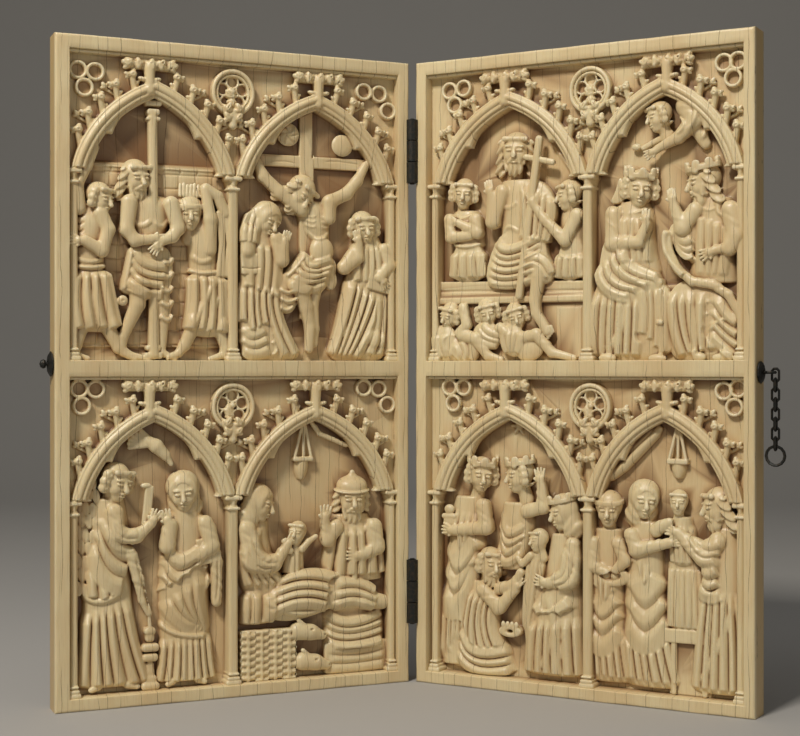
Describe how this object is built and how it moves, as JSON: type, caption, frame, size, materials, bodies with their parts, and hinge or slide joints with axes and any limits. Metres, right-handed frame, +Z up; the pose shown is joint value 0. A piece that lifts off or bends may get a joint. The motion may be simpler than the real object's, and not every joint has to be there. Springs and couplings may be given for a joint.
{
  "type": "carved ivory diptych",
  "caption": "Folding pair of ivory leaves carved with figure scenes under pointed arches, on iron barrel hinges, with a stud and a closing chain.",
  "frame": {"origin": "under the middle of the standing object's box, at the surface it stands on", "axes": "+Z up, +X to the right of someone facing the carvings, +Y away from them, towards the hinge"},
  "size_m": [0.2314, 0.0614, 0.212],
  "materials": {
    "ivory": "polished old ivory, satin",
    "iron": "dark forged iron, worn"
  },
  "bodies": {
    "left_wing": {"left_leaf": "ivory", "left_hinge_bottom": "iron", "left_hinge_top": "iron", "hinge_pin_bottom": "iron", "hinge_pin_top": "iron", "stud_washer": "iron", "stud": "iron"},
    "right_wing": {"right_leaf": "ivory", "right_hinge_bottom": "iron", "right_hinge_top": "iron", "eye_washer": "iron", "chain_eye": "iron", "chain_link_1": "iron", "chain_link_2": "iron", "chain_link_3": "iron", "chain_link_4": "iron", "chain_link_5": "iron", "chain_link_6": "iron", "chain_link_7": "iron", "chain_link_8": "iron", "end_ring": "iron"}
  },
  "joints": [
    {"name": "leaf_hinge", "type": "hinge", "parent": "left_wing", "child": "right_wing", "pos_m": [-0.00192, 0.02202, 0], "axis": [0, 0, 1], "range_deg": [-127.6, 52.3]}
  ]
}
